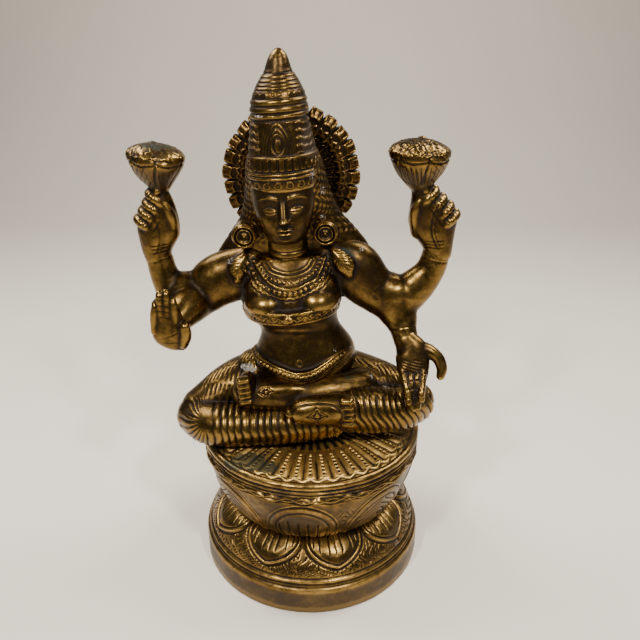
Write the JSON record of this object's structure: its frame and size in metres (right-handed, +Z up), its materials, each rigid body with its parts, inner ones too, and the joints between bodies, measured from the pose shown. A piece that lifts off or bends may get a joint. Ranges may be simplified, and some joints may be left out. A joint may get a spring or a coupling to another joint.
{
  "type": "lakshmi figure",
  "caption": "Seated four-armed goddess in cast brass with lotus buds, tall crown and toothed halo, on a round lotus pedestal.",
  "frame": {"origin": "centre of the pedestal's flat underside", "axes": "+Z up, -Y towards the viewer that the figure faces, +X to that viewer's right"},
  "size_m": [0.1469, 0.114, 0.2502],
  "materials": {
    "pedestal_brass": "aged and worn, dark brown in the recesses",
    "figure_brass": "aged and worn, dark brown in the recesses",
    "halo_brass": "aged, darker than the figure"
  },
  "bodies": {
    "root": {"pedestal": "pedestal_brass", "figure": "figure_brass", "halo": "halo_brass"}
  },
  "joints": []
}
